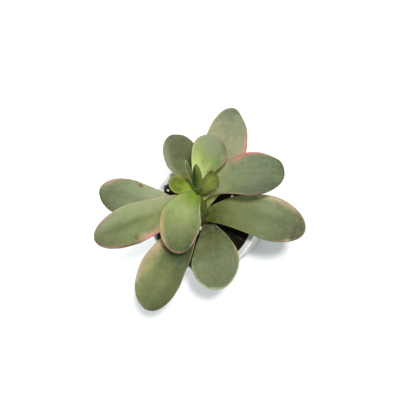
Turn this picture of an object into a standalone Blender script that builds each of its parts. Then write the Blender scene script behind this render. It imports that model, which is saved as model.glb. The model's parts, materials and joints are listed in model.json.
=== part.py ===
"""A potted crassula: a small white nursery pot filled with dark soil, and one leaning stem that
carries crossed pairs of thick spoon-shaped leaves. Metres, +Z up. The origin is the centre of
the pot's flat bottom, which stands on the surface."""

import math
from collections import namedtuple

import bmesh
import bpy
from mathutils import Vector, noise

MM = 0.001
GAP = 0.3 * MM  # clearance between pieces that touch
WELD = 0.001 * MM  # points closer than this are one point

# Pot
RIM_RADIUS = 33 * MM
POT_HEIGHT = 58 * MM
BASE_RADIUS = 27.5 * MM
POT_WALL = 1.2 * MM
POT_FLOOR = 1.6 * MM
LIP_DROP = 5.5 * MM  # height of the lip's outer band
LIP_LEDGE = 1.5 * MM  # how far the lip stands out from the wall under it
RIDGE_STEP = 0.65 * MM  # drop of each ridge inside the lip
RIDGE_WIDTH = 0.8 * MM
RIDGE_SLOPE = 0.15 * MM
BEAD_WIDTH = 1.0 * MM  # the round bead along the top of the rim
LIP_ROUND = 0.4 * MM
FOOT_ROUND = 1.2 * MM
POT_STEPS = 48
POT_WELD = 0.05 * MM
DRAIN_RADIUS = 3 * MM
DRAIN_CIRCLE = 15 * MM
DRAIN_COUNT = 4
DRAIN_SIDES = 16
RIDGES = 3

# Soil
SOIL_LEVEL = 54 * MM
SOIL_RELIEF = 1.1 * MM
LUMP_SIZE = 7 * MM
CRUMB_SIZE = 3 * MM
CRUMB_SHARE = 0.5  # height of the crumbs as a share of the lumps' height
LEVEL_POWER = 6  # how late the lumps die out towards the pot's wall
SOIL_RINGS = 9
SOIL_STEPS = 44
SOIL_SHOULDER = 1.8 * MM  # slope round the plug's foot, clear of the pot's round corner

# Stem
STEM_RADIUS = 3.4 * MM
STEM_TOP_RADIUS = 1.3 * MM
STEM_FOOT = 42 * MM
STEM_TIP = 107.5 * MM
STEM_SAMPLES = 36
STEM_BEVEL_RESOLUTION = 4  # twelve sides
NODE_SWELL = 0.12  # how much the stem thickens where a pair of leaves stands
NODE_REACH = 1.6 * MM
TIP_BLUNTNESS = 0.1  # radius left at the very tip, as a share

# The stem's centre line, x, y, z: nearly upright in the soil, then leaning to the back and right
STEM_LINE = [
    (0.6 * MM, -3.6 * MM, 36 * MM),
    (1.0 * MM, -3.2 * MM, 52 * MM),
    (2.4 * MM, -1.2 * MM, 64 * MM),
    (4.6 * MM, 4.2 * MM, 77 * MM),
    (6.6 * MM, 9.0 * MM, 90 * MM),
    (9.4 * MM, 9.8 * MM, 104 * MM),
    (11.8 * MM, 9.6 * MM, 114 * MM),
]

# Leaves
LEAF_SEGMENTS = 12
LEAF_RINGS = 16
BLADE_THICKNESS = 3.0 * MM
BASE_THICKNESS = 4.0 * MM
TIP_THICKNESS = 1.9 * MM
CHANNEL = 0.22  # trough along the upper face near the base, as a share of the half width
CHANNEL_END = 0.45  # share of the length where the trough runs out
DISH = 0.06  # lift of the margins along the whole blade, as a share of the half width
MIDRIB_SINK = 0.3  # share of that lift by which the midrib lies lower instead
TAPER_POWER = 1.4  # how soon the blade widens between neck and belly
THIN_SMALL_LEAF = 0.45  # thickness of the smallest leaves, as a share of a grown one's
FULL_LENGTH = 40 * MM  # a leaf this long or longer is fully thick
MIDRIB_STEPS = 24
CLASP = 0.4  # how far from the stem's centre a leaf's base starts, as a share of the stem's radius

# Height is where the leaf stands on the stem. Heading turns counter-clockwise from +X, seen from
# above. Rise is the angle at the base, droop the angle lost by the tip, turn the change of heading
# from base to tip. Belly is where the blade is widest and neck its width at the base, as shares.
# Late is how long the blade waits to widen, from 1. Fold is how far the margins turn up, as a share
# of the half width. The rest is in mm and degrees.
Leaf = namedtuple("Leaf", "name height heading rise droop turn length width belly neck late fold")

LEAVES = [
    Leaf("leaf_low_front", 56, -74, 31, 8, -25, 47.3, 28.2, 0.62, 0.13, 1.2, 0),
    Leaf("leaf_low_back", 56, 109, 33, 20, 32, 55.8, 20.6, 0.74, 0.20, 1.6, 0),
    Leaf("leaf_second_right", 65, -10.8, 28, 26, -42, 64.3, 24.3, 0.66, 0.24, 1.0, 0),
    Leaf("leaf_second_left", 65, 165, 26, 26, -12, 63.9, 22.7, 0.69, 0.26, 1.0, 0),
    Leaf("leaf_third_back", 72.5, 67.7, 32, 24, 29, 61.8, 24.3, 0.63, 0.17, 1.5, 0),
    Leaf("leaf_third_front", 72.5, -123.7, 18, 52, 3, 71.8, 27.5, 0.61, 0.16, 1.2, 0),
    Leaf("leaf_fourth_right", 85, 10, 34, 36, -60, 53.4, 23.2, 0.66, 0.22, 1.5, 0),
    Leaf("leaf_fourth_left", 85, 200.8, 31.5, 47, -8, 65.8, 22.5, 0.61, 0.30, 1.0, 0),
    Leaf("leaf_fifth_back", 94.5, 63, 46, 47, -26, 33.4, 20.4, 0.74, 0.24, 1.8, 0),
    Leaf("leaf_fifth_front", 95, -107.5, 28, 66, 60, 37.5, 23.0, 0.45, 0.20, 1.15, 0),
    Leaf("young_leaf_left", 90.5, 155, 32, 0, 0, 18.8, 9.6, 0.72, 0.42, 1.0, 0.2),
    Leaf("young_leaf_right", 99, 24, 42, 8, -5, 17.8, 9.8, 0.84, 0.34, 1.0, 0.1),
    Leaf("tip_leaf_left", 102.2, 105, 38, 0, -20, 19.0, 2.8, 0.50, 0.40, 1.0, 0.4),
    Leaf("tip_leaf_right", 105.6, 79, 50, 0, 18, 17.7, 5.4, 0.38, 0.44, 1.0, 0.4),
]

# Perlite and gravel on the soil: name, x, y, length and width in mm, heading in degrees
Grain = namedtuple("Grain", "name x y length width heading")

GRAINS = [
    Grain("perlite_front_left", -2.4, -7.3, 3.0, 2.4, -40),
    Grain("perlite_front_right", 6.2, -8.4, 3.6, 2.0, 15),
    Grain("gravel_back_left", -24.2, 10.2, 2.8, 2.2, 60),
    Grain("gravel_left", -22.9, 16.0, 1.8, 1.5, -30),
    Grain("gravel_right", 17.0, 11.4, 1.8, 1.5, 40),
]
GRAIN_SINK = 0.35  # share of a grain's width that is under the soil's level
GRAIN_BUMP = 0.3


def smooth_line(points, height):
    """The point at the given height on a Catmull-Rom curve through points listed upwards."""
    last = len(points) - 3
    index = 1
    while index < last and points[index + 1][2] < height:
        index += 1
    before, start, end, after = (Vector(p) for p in points[index - 1:index + 3])
    share = (height - start.z) / (end.z - start.z)
    slope_in = (end - before) / (end.z - before.z) * (end.z - start.z)
    slope_out = (after - start) / (after.z - start.z) * (end.z - start.z)
    square = share * share
    cube = square * share
    point = start * (2 * cube - 3 * square + 1) + slope_in * (cube - 2 * square + share)
    point += end * (3 * square - 2 * cube) + slope_out * (cube - square)
    point.z = height
    return point


def stem_centre(height):
    return smooth_line(STEM_LINE, height)


def stem_radius(height):
    """Thick at the foot, slimmer upwards, swollen at each pair of leaves, rounded off at the tip."""
    share = max(0.0, (height - SOIL_LEVEL) / (STEM_TIP - SOIL_LEVEL))
    radius = STEM_RADIUS + (STEM_TOP_RADIUS - STEM_RADIUS) * share
    for node in sorted({leaf.height for leaf in LEAVES}):
        distance = (height - node * MM) / NODE_REACH
        radius *= 1 + NODE_SWELL * math.exp(-distance * distance)
    to_tip = (STEM_TIP - height) / (2 * STEM_TOP_RADIUS)
    if to_tip < 1:
        dome = math.sqrt(max(0.0, 1 - (1 - to_tip) ** 2))
        radius *= TIP_BLUNTNESS + (1 - TIP_BLUNTNESS) * dome
    return radius


def blade_share(leaf, along):
    """Half width of a leaf as a share of its largest, from the base at 0 to the tip at 1."""
    if along < leaf.belly:
        widening = 1 - (1 - along / leaf.belly) ** TAPER_POWER
        return leaf.neck + (1 - leaf.neck) * widening ** leaf.late
    return math.sqrt(max(0.0, 1 - ((along - leaf.belly) / (1 - leaf.belly)) ** 2))


def blade_half_thickness(leaf, along):
    size = min(1.0, leaf.length * MM / FULL_LENGTH)
    thick = BLADE_THICKNESS
    thick += (BASE_THICKNESS - BLADE_THICKNESS) * max(0.0, 1 - along / CHANNEL_END) ** 2
    thick += (TIP_THICKNESS - BLADE_THICKNESS) * max(0.0, 2 * along - 1) ** 2
    return thick / 2 * (THIN_SMALL_LEAF + (1 - THIN_SMALL_LEAF) * size)


def midrib_direction(leaf, along):
    """Where the leaf's middle line points at a share of its length, and what lies across it."""
    rise = math.radians(leaf.rise - leaf.droop * along)
    heading = math.radians(leaf.heading + leaf.turn * (along - 0.5))
    level = Vector((math.cos(heading), math.sin(heading), 0))
    across = Vector((-math.sin(heading), math.cos(heading), 0))
    return level * math.cos(rise) + Vector((0, 0, math.sin(rise))), across


def midrib_frame(leaf, along):
    """Point, across and upward directions of the leaf's middle line, at a share of its length."""
    point = Vector((0, 0, 0))
    step = leaf.length * MM * along / MIDRIB_STEPS
    for index in range(MIDRIB_STEPS):
        point += step * midrib_direction(leaf, along * (index + 0.5) / MIDRIB_STEPS)[0]
    forward, across = midrib_direction(leaf, along)
    return point, across, forward.cross(across)


def leaf_point(leaf, along, angle):
    """A point of the leaf's skin: share of its length, and angle round its lens-shaped section."""
    point, across, up = midrib_frame(leaf, along)
    half_width = leaf.width / 2 * MM * blade_share(leaf, along)
    side = math.cos(angle)
    trough = DISH + leaf.fold + CHANNEL * max(0.0, 1 - along / CHANNEL_END)
    lift = trough * half_width * (side * side - MIDRIB_SINK)
    height = blade_half_thickness(leaf, along) * math.sin(angle)
    return point + across * half_width * side + up * (height + lift)


def material(name, colour, roughness):
    made = bpy.data.materials.new(name)
    made.use_nodes = True
    shader = made.node_tree.nodes["Principled BSDF"]
    shader.inputs["Base Color"].default_value = (*colour, 1)
    shader.inputs["Roughness"].default_value = roughness
    shader.inputs["Metallic"].default_value = 0
    return made


def add_object(name, mesh, collection, finish=None):
    made = bpy.data.objects.new(name, mesh)
    collection.objects.link(made)
    if finish is not None:
        mesh.materials.append(finish)
    return made


def hide_as_cutter(cutter):
    cutter.hide_render = True
    cutter.display_type = "WIRE"


def evaluated_mesh(source):
    """The mesh that an object's modifiers or curve settings give, with its caps welded."""
    graph = bpy.context.evaluated_depsgraph_get()
    mesh = bpy.data.meshes.new_from_object(source.evaluated_get(graph))
    shape = bmesh.new()
    shape.from_mesh(mesh)
    bmesh.ops.remove_doubles(shape, verts=shape.verts, dist=WELD)
    bmesh.ops.recalc_face_normals(shape, faces=shape.faces)
    shape.to_mesh(mesh)
    shape.free()
    mesh.shade_smooth()
    return mesh


def subtract(target, cutter):
    cut = target.modifiers.new("cut " + cutter.name, "BOOLEAN")
    cut.operation = "DIFFERENCE"
    cut.object = cutter


def turned(name, profile, steps, collection, finish=None):
    """A solid of revolution from (radius, height) points that run down the outer side."""
    mesh = bpy.data.meshes.new(name)
    points = [(radius, 0, height) for radius, height in profile]
    mesh.from_pydata(points, [(i, i + 1) for i in range(len(points) - 1)], [])
    made = add_object(name, mesh, collection, finish)
    screw = made.modifiers.new("turn", "SCREW")
    screw.steps = steps
    screw.render_steps = steps
    screw.use_merge_vertices = True
    screw.merge_threshold = POT_WELD
    return made


def pot_profile():
    """Closed profile of the pot: from the floor's centre inside, up, over the lip and down."""
    wall_top = RIM_RADIUS - LIP_LEDGE
    ridges = [(RIM_RADIUS - BEAD_WIDTH, POT_HEIGHT)]
    for step in range(RIDGES):
        radius = RIM_RADIUS - BEAD_WIDTH - RIDGE_SLOPE - step * RIDGE_WIDTH
        height = POT_HEIGHT - (step + 1) * RIDGE_STEP
        ridges.append((radius, height))
        ridges.append((radius - RIDGE_WIDTH + RIDGE_SLOPE, height))
    inner_top = (ridges[-1][0] - RIDGE_SLOPE, ridges[-1][1] - RIDGE_STEP)
    outside = [
        (RIM_RADIUS - LIP_ROUND, POT_HEIGHT),
        (RIM_RADIUS, POT_HEIGHT - LIP_ROUND),
        (RIM_RADIUS, POT_HEIGHT - LIP_DROP + LIP_ROUND),
        (RIM_RADIUS - LIP_ROUND, POT_HEIGHT - LIP_DROP),
        (wall_top, POT_HEIGHT - LIP_DROP),
        (BASE_RADIUS, FOOT_ROUND),
        (BASE_RADIUS - 0.3 * FOOT_ROUND, 0.3 * FOOT_ROUND),
        (BASE_RADIUS - FOOT_ROUND, 0),
        (0, 0),
    ]
    inside = [
        (0, POT_FLOOR),
        (BASE_RADIUS - POT_WALL - FOOT_ROUND, POT_FLOOR),
        (BASE_RADIUS - POT_WALL, POT_FLOOR + FOOT_ROUND),
        inner_top,
    ]
    return inside + ridges[::-1] + outside


def inner_radius(height):
    """Radius of the pot's inside at a height, between the floor and the ridges."""
    (low_radius, low), (high_radius, high) = pot_profile()[2:4]
    return low_radius + (high_radius - low_radius) * (height - low) / (high - low)


def make_pot(parts, cutters, finish):
    pot = turned("pot", pot_profile(), POT_STEPS, parts, finish)
    for index in range(DRAIN_COUNT):
        turn = 2 * math.pi * (index + 0.5) / DRAIN_COUNT
        place = (DRAIN_CIRCLE * math.cos(turn), DRAIN_CIRCLE * math.sin(turn), 0)
        bpy.ops.mesh.primitive_cylinder_add(
            vertices=DRAIN_SIDES, radius=DRAIN_RADIUS, depth=4 * POT_FLOOR, location=place)
        drill = bpy.context.object
        drill.name = f"drain_drill_{index + 1}"
        for holder in drill.users_collection:
            holder.objects.unlink(drill)
        cutters.objects.link(drill)
        hide_as_cutter(drill)
        subtract(pot, drill)
    return pot


def soil_height(x, y):
    """Height of the lumpy soil surface, level where it meets the pot."""
    away = math.hypot(x, y) / inner_radius(SOIL_LEVEL)
    lumps = noise.noise(Vector((x, y, 0)) / LUMP_SIZE)
    crumbs = noise.noise(Vector((x, y, LUMP_SIZE)) / CRUMB_SIZE)
    flatten = max(0.0, 1 - away ** LEVEL_POWER)
    return SOIL_LEVEL + SOIL_RELIEF * (lumps + CRUMB_SHARE * crumbs) * flatten


def make_soil(parts, finish):
    edge = inner_radius(SOIL_LEVEL) - GAP
    profile = [(edge * ring / SOIL_RINGS, SOIL_LEVEL) for ring in range(SOIL_RINGS + 1)]
    low = POT_FLOOR + GAP
    shoulder = low + SOIL_SHOULDER
    profile.append((inner_radius(shoulder) - GAP, shoulder))
    profile.append((inner_radius(shoulder) - GAP - SOIL_SHOULDER, low))
    profile.append((0, low))
    blank = turned("soil_blank", profile, SOIL_STEPS, parts)
    mesh = evaluated_mesh(blank)
    bpy.data.objects.remove(blank)
    for vertex in mesh.vertices:
        if vertex.co.z > SOIL_LEVEL - GAP:
            vertex.co.z = soil_height(vertex.co.x, vertex.co.y)
    return add_object("soil", mesh, parts, finish)


def stem_tube(name, extra, parts, finish=None):
    """The stem as a tube along its centre line, thicker all round by the given amount."""
    curve = bpy.data.curves.new(name, "CURVE")
    curve.dimensions = "3D"
    curve.bevel_depth = 1
    curve.bevel_resolution = STEM_BEVEL_RESOLUTION
    curve.use_fill_caps = True
    line = curve.splines.new("POLY")
    line.points.add(STEM_SAMPLES - 1)
    for index, knot in enumerate(line.points):
        share = index / (STEM_SAMPLES - 1)
        height = STEM_FOOT - extra + (STEM_TIP + 2 * extra - STEM_FOOT) * share
        knot.co = (*stem_centre(height), 1)
        knot.radius = stem_radius(min(height, STEM_TIP)) + extra
    source = bpy.data.objects.new(name, curve)
    parts.objects.link(source)
    mesh = evaluated_mesh(source)
    bpy.data.objects.remove(source)
    return add_object(name, mesh, parts, finish)


def leaf_start(leaf):
    """Share of the length where the skin begins, so that the two leaves of a pair stay apart."""
    inside_stem = CLASP * stem_radius(leaf.height * MM)
    leaning_back = blade_half_thickness(leaf, 0) * math.sin(math.radians(leaf.rise))
    return (inside_stem + leaning_back) / (leaf.length * MM)


def make_leaf(leaf, stem_cutter, parts, finish):
    """A thick spoon-shaped leaf: a sphere laid along the midrib, its base clasping the stem."""
    shape = bmesh.new()
    bmesh.ops.create_uvsphere(shape, u_segments=LEAF_SEGMENTS, v_segments=LEAF_RINGS, radius=1)
    start = leaf_start(leaf)
    for vertex in shape.verts:
        along = start + (1 - start) * (1 - vertex.co.z) / 2
        angle = math.atan2(vertex.co.y, vertex.co.x)
        if math.hypot(vertex.co.x, vertex.co.y) < WELD:
            vertex.co = midrib_frame(leaf, along)[0]
        else:
            vertex.co = leaf_point(leaf, along, angle)
    bmesh.ops.recalc_face_normals(shape, faces=shape.faces)
    mesh = bpy.data.meshes.new(leaf.name)
    shape.to_mesh(mesh)
    shape.free()
    mesh.shade_smooth()
    made = add_object(leaf.name, mesh, parts, finish)
    made.location = stem_centre(leaf.height * MM)
    subtract(made, stem_cutter)
    return made


def grain_mesh(grain, extra):
    """A rough rounded lump, larger all round by the given amount."""
    shape = bmesh.new()
    bmesh.ops.create_icosphere(shape, subdivisions=2, radius=1)
    turn = math.radians(grain.heading)
    for vertex in shape.verts:
        place = vertex.co + Vector((grain.x, grain.y, 0))
        bump = 1 + GRAIN_BUMP * noise.noise(place)
        length = grain.length / 2 * MM * bump + extra
        width = grain.width / 2 * MM * bump + extra
        x, y, z = vertex.co
        vertex.co = (length * x * math.cos(turn) - width * y * math.sin(turn),
                     length * x * math.sin(turn) + width * y * math.cos(turn), width * z)
    mesh = bpy.data.meshes.new(grain.name)
    shape.to_mesh(mesh)
    shape.free()
    mesh.shade_smooth()
    return mesh


def make_grain(grain, soil, parts, cutters, finish):
    made = add_object(grain.name, grain_mesh(grain, 0), parts, finish)
    lift = grain.width / 2 * MM * (1 - 2 * GRAIN_SINK)
    made.location = (grain.x * MM, grain.y * MM, soil_height(grain.x * MM, grain.y * MM) + lift)
    seat = add_object(grain.name + "_seat", grain_mesh(grain, GAP), cutters)
    seat.location = made.location
    hide_as_cutter(seat)
    subtract(soil, seat)
    return made


def main():
    for old in list(bpy.data.objects):
        bpy.data.objects.remove(old)
    parts = bpy.data.collections.new("potted crassula")
    cutters = bpy.data.collections.new("cutters")
    bpy.context.scene.collection.children.link(parts)
    bpy.context.scene.collection.children.link(cutters)

    white_plastic = material("white plastic", (0.82, 0.83, 0.84), 0.4)
    dark_soil = material("dark soil", (0.02, 0.016, 0.013), 0.95)
    stem_skin = material("stem skin", (0.2, 0.24, 0.08), 0.6)
    grown_leaf = material("grown leaf", (0.2, 0.28, 0.14), 0.5)
    young_leaf = material("young leaf", (0.3, 0.42, 0.12), 0.5)
    cream_grain = material("cream grain", (0.7, 0.6, 0.4), 0.85)

    make_pot(parts, cutters, white_plastic)
    soil = make_soil(parts, dark_soil)
    stem_tube("stem", 0, parts, stem_skin)
    stem_cutter = stem_tube("stem_room", GAP, cutters)
    hide_as_cutter(stem_cutter)
    subtract(soil, stem_cutter)
    for leaf in LEAVES:
        finish = grown_leaf if leaf.name.startswith("leaf") else young_leaf
        make_leaf(leaf, stem_cutter, parts, finish)
    for grain in GRAINS:
        make_grain(grain, soil, parts, cutters, cream_grain)


main()
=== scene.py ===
"""The looks of a potted crassula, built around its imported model: fine leaves with pink and cream
margins, a turned white nursery pot, crumbly dark soil, the stem and the grains on the soil."""

import json
import math
import random
from collections import namedtuple

import bmesh
import bpy
from mathutils import Euler, Matrix, Vector, noise

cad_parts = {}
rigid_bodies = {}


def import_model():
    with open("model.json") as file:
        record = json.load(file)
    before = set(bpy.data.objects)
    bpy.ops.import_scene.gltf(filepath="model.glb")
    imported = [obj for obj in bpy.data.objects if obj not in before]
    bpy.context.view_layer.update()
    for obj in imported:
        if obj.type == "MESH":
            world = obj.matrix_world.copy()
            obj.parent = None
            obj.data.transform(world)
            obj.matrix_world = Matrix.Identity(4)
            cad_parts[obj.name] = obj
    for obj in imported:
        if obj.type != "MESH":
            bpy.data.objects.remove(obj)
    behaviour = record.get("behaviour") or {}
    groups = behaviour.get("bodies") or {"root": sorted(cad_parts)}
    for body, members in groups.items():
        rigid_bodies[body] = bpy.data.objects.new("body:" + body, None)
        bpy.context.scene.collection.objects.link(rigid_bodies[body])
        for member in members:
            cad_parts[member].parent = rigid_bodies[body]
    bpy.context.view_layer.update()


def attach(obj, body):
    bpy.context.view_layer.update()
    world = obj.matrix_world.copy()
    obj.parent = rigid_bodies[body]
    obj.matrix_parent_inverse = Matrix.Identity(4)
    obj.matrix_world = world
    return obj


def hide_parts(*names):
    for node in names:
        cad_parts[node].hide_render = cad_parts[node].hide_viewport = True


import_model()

MM = 0.001
SEED = 11

# Camera and light, with places and widths in mm, and the floor
EYE = (94.1, -28.8, 425.1)
AIM = (3.06, 4.41, 58.0)
FOCAL_LENGTH = 55.385
SENSOR = 36.0
KEY_PLACE = (209, 43, 700)
KEY_WIDTH = 64
KEY_POWER = 4.2
SKY_COLOUR = (0.92, 0.98, 1.0)
SKY_STRENGTH = 0.62
WINDOW_PLACE = (-300, 300, 420)
WINDOW_WIDTH = 300
WINDOW_POWER = 0.9
LOW_PLACE = (-200, -105, 32)
LOW_AIM = (-70, 55, 0)
LOW_WIDTH = 50
LOW_HEIGHT = 36
LOW_POWER = 0.1
LOW_SPREAD = 50
LIGHT_AIM = (0, 0, 58)
CAMERA_CLIP = 10 * MM
FLOOR_SIZE = 6.0
SEEN_TO_SURFACE = 0.70  # surface colour as a share of the colour seen in the light

# Pot
RIM_RADIUS = 33 * MM
POT_HEIGHT = 58 * MM
BASE_RADIUS = 27.5 * MM
POT_WALL = 1.2 * MM
POT_FLOOR = 1.6 * MM
LIP_DROP = 5.5 * MM
LIP_LEDGE = 1.5 * MM
LIP_FOOT = POT_HEIGHT - LIP_DROP
RIDGE_STEP = 0.65 * MM
RIDGE_WIDTH = 0.8 * MM
RIDGE_SLOPE = 0.15 * MM
RIDGES = 3
BEAD_WIDTH = 1.0 * MM
FOOT_ROUND = 1.2 * MM
POT_STEPS = 160
POT_BEVEL = 0.16 * MM
POT_BEVEL_STEPS = 3
POT_BEVEL_ANGLE = 35
POT_SMOOTH_ANGLE = 38
DRAIN_RADIUS = 3 * MM
DRAIN_CIRCLE = 15 * MM
DRAIN_COUNT = 4
DRAIN_SIDES = 40
MERGE_BELOW = 0.01 * MM
GAP = 0.3 * MM  # between the soil bed and the pot

# The pot's finish: soil smeared inside the lip on the left, and more of it in front; painted shade
# in rings for faint grooves round the lip; painted shade below the rim's top and more below the
# lip; dust at the foot. A fade says from where to where a change spreads.
CLEAN_WHITE = (0.70, 0.705, 0.68, 1)
CLOUDY_WHITE = (0.60, 0.61, 0.59, 1)
SMEAR_COLOUR = (0.008, 0.006, 0.004, 1)
DUST_COLOUR = (0.42, 0.38, 0.32, 1)
SMEAR_WIDTH = 1.5 * MM
SMEAR_UNEVEN = 5 * MM
SMEAR_EDGE = 0.3 * MM
LEFT_FADE = (-5 * MM, 8 * MM)
FRONT_FADE = (-8 * MM, 8 * MM)
LIP_FADE = (LIP_FOOT, LIP_FOOT + 0.5 * MM)
RING_PITCH = 1.1 * MM
# Painted shade for faint grooves: how much the rings darken the colour
RING_PAINTED_SHADE = 0.16
# Painted shade: darker below the rim's top, and more below the lip
WALL_FADE = (POT_HEIGHT - 3.2 * MM, POT_HEIGHT - 1.2 * MM)
WALL_PAINTED_SHADE = 0.2
BODY_FADE = (LIP_FOOT - 0.3 * MM, LIP_FOOT + 1.5 * MM)
BODY_PAINTED_SHADE = 0.14
FOOT_FADE = (0, 6 * MM)

# Soil
SOIL_LEVEL = 54 * MM
SOIL_RELIEF = 1.1 * MM
LUMP_SIZE = 7 * MM
CRUMB_SIZE = 3 * MM
CRUMB_SHARE = 0.5
LEVEL_POWER = 6
SOIL_RINGS = 84
SOIL_STEPS = 230
SOIL_SHOULDER = 1.8 * MM
SOIL_EDGE = 3 * MM
CLOD_SIZE = 2.7 * MM
CLOD_RELIEF = 1.1
PELLET_SIZE = 1.25 * MM
PELLET_RELIEF = 0.55
GRIT_SIZE = 0.6 * MM
GRIT_RELIEF = 0.12

# Loose bits on the soil. Pairs are the least and the most; radius, length and width are in mm.
CRUMB_COUNT = 520
CRUMB_MODELS = 5
CRUMB_RADIUS = (0.3, 0.62)
BIG_CRUMBS = 0.16
BIG_CRUMB_GAIN = 1.9
CRUMB_STRETCH = ((0.8, 1.35), (0.7, 1.1), (0.6, 0.95))
CRUMB_BUMP = 0.55
CRUMB_MARGIN = 0.3 * MM
CRUMB_LIFT = 0.35
BARK_COUNT = 46
BARK_MODELS = 4
BARK_HALF_LENGTH = (0.9, 2.6)
BARK_HALF_WIDTH = (0.12, 0.45)
BARK_TURN = ((-0.4, 0.4), (-0.25, 0.25), (0, math.tau))
BARK_MARGIN = 0.2 * MM
BARK_LIFT = 0.75 * MM

# The soil's pieces: surface colours in the hollows and on the crumbs, and roughness
SOIL_LOOKS = {
    "soil_bed": ((0.004, 0.003, 0.002, 1), (0.016, 0.012, 0.008, 1), 0.85),
    "soil_crumbs": ((0.005, 0.004, 0.003, 1), (0.026, 0.019, 0.012, 1), 0.82),
    "soil_bark": ((0.014, 0.009, 0.005, 1), (0.07, 0.045, 0.024, 1), 0.75),
}

# Stem
STEM_RADIUS = 3.4 * MM
STEM_TOP_RADIUS = 1.3 * MM
STEM_FOOT = 42 * MM
STEM_TIP = 107.5 * MM
NODE_SWELL = 0.12
NODE_REACH = 1.6 * MM
TIP_BLUNTNESS = 0.1
STEM_RINGS = 240
STEM_SIDES = 40
BARK_RELIEF = 0.03
SCARRED_BELOW = 99  # pairs above this height are too young for a scar
SCAR_DEPTH = 0.12 * MM
SCAR_DROP = 1.4 * MM
SCAR_WIDTH = 0.35 * MM
STEM_LINE = [
    (0.6 * MM, -3.6 * MM, 36 * MM),
    (1.0 * MM, -3.2 * MM, 52 * MM),
    (2.4 * MM, -1.2 * MM, 64 * MM),
    (4.6 * MM, 4.2 * MM, 77 * MM),
    (6.6 * MM, 9.0 * MM, 90 * MM),
    (9.4 * MM, 9.8 * MM, 104 * MM),
    (11.8 * MM, 9.6 * MM, 114 * MM),
]

# Leaf form
LEAF_SEGMENTS = 56
LEAF_RINGS = 84
BLADE_THICKNESS = 3.0 * MM
BASE_THICKNESS = 4.0 * MM
TIP_THICKNESS = 1.9 * MM
TIP_ROUND = 1.3 * MM
CHANNEL = 0.22
CHANNEL_END = 0.45
DISH = 0.06
MIDRIB_SINK = 0.3
TAPER_POWER = 1.4
CREASE = 2.4
THIN_SMALL_LEAF = 0.45
FULL_LENGTH = 40 * MM
CLASP = 0.4
MIDRIB_STEPS = 96

# Where a point of a leaf lies: share of the length, share of the half width from -1 at the right
# margin to 1 at the left, from -1 below to 1 above, and distance to the margin in mm
LEAF_PLACES = ("along", "side", "upper", "rim")

# Fine relief of a leaf: ripples and widths as shares of the half width, ends as shares of the
# length, and the lip's edge as a share of the half thickness
RIPPLE = 0.022
WAVE_HEIGHT = 0.42 * MM
GROOVE_DEPTH = 0.14 * MM
GROOVE_WIDTH = 0.09
GROOVE_END = 0.92
KEEL_DEPTH = 0.25 * MM
KEEL_WIDTH = 0.16
KEEL_END = 0.7
LIP_HEIGHT = 0.07 * MM
LIP_REACH = 0.5 * MM
LIP_EDGE = 0.2
AT_POLE = 1e-5  # nearer to a unit sphere's axis than this is its pole

# Height is where the leaf stands on the stem. Heading turns counter-clockwise from +X, seen from
# above. Rise is the angle at the base, droop the angle lost by the tip, turn the change of heading
# from base to tip. Belly is where the blade is widest and neck its width at the base, as shares.
# Late is how long the blade waits to widen, from 1. Fold is how far the margins turn up, as a share
# of the half width. The rest is in mm and degrees.
Leaf = namedtuple("Leaf", "name height heading rise droop turn length width belly neck late fold")

LEAVES = [
    Leaf("leaf_low_front", 56, -74, 31, 8, -25, 47.3, 28.2, 0.62, 0.13, 1.2, 0),
    Leaf("leaf_low_back", 56, 109, 33, 20, 32, 55.8, 20.6, 0.74, 0.20, 1.6, 0),
    Leaf("leaf_second_right", 65, -10.8, 28, 26, -42, 64.3, 24.3, 0.66, 0.24, 1.0, 0),
    Leaf("leaf_second_left", 65, 165, 26, 26, -12, 63.9, 22.7, 0.69, 0.26, 1.0, 0),
    Leaf("leaf_third_back", 72.5, 67.7, 32, 24, 29, 61.8, 24.3, 0.63, 0.17, 1.5, 0),
    Leaf("leaf_third_front", 72.5, -123.7, 18, 52, 3, 71.8, 27.5, 0.61, 0.16, 1.2, 0),
    Leaf("leaf_fourth_right", 85, 10, 34, 36, -60, 53.4, 23.2, 0.66, 0.22, 1.5, 0),
    Leaf("leaf_fourth_left", 85, 200.8, 31.5, 47, -8, 65.8, 22.5, 0.61, 0.30, 1.0, 0),
    Leaf("leaf_fifth_back", 94.5, 63, 46, 47, -26, 33.4, 20.4, 0.74, 0.24, 1.8, 0),
    Leaf("leaf_fifth_front", 95, -107.5, 28, 66, 60, 37.5, 23.0, 0.45, 0.20, 1.15, 0),
    Leaf("young_leaf_left", 90.5, 155, 32, 0, 0, 18.8, 9.6, 0.72, 0.42, 1.0, 0.2),
    Leaf("young_leaf_right", 99, 24, 42, 8, -5, 17.8, 9.8, 0.84, 0.34, 1.0, 0.1),
    Leaf("tip_leaf_left", 102.2, 105, 38, 0, -20, 19.0, 2.8, 0.50, 0.40, 1.0, 0.4),
    Leaf("tip_leaf_right", 105.6, 79, 50, 0, 18, 17.7, 5.4, 0.38, 0.44, 1.0, 0.4),
]

# Where a margin swells out a little, or draws in: the leaf, the margin as for a blush below, the
# share of the length, how far in mm and over what share of the length
Swell = namedtuple("Swell", "leaf margin along out reach")

SWELLS = [
    Swell("leaf_low_front", -1, 0.42, 0.9, 0.2),
    Swell("leaf_low_back", -1, 0.97, -0.9, 0.035),
    Swell("leaf_third_front", 1, 0.34, 0.8, 0.12),
    Swell("leaf_third_back", -1, 0.93, -0.9, 0.06),
    Swell("leaf_fourth_right", 1, 0.93, 0.8, 0.05),
    Swell("leaf_fifth_front", 1, 0.62, 0.6, 0.06),
]

# A blush along a margin: +1 for the left margin and -1 for the right, looking from base to tip,
# or 0 for both; its colour, its width in mm, the shares of the length between which it lies, and
# its strength
Blush = namedtuple("Blush", "margin colour width start end strength")

# A scar, speck or patch: where it lies, as a share of the length and of the half width, its length
# along the leaf and its width in mm, its colour and strength
Mark = namedtuple("Mark", "along side long wide colour strength")

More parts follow.
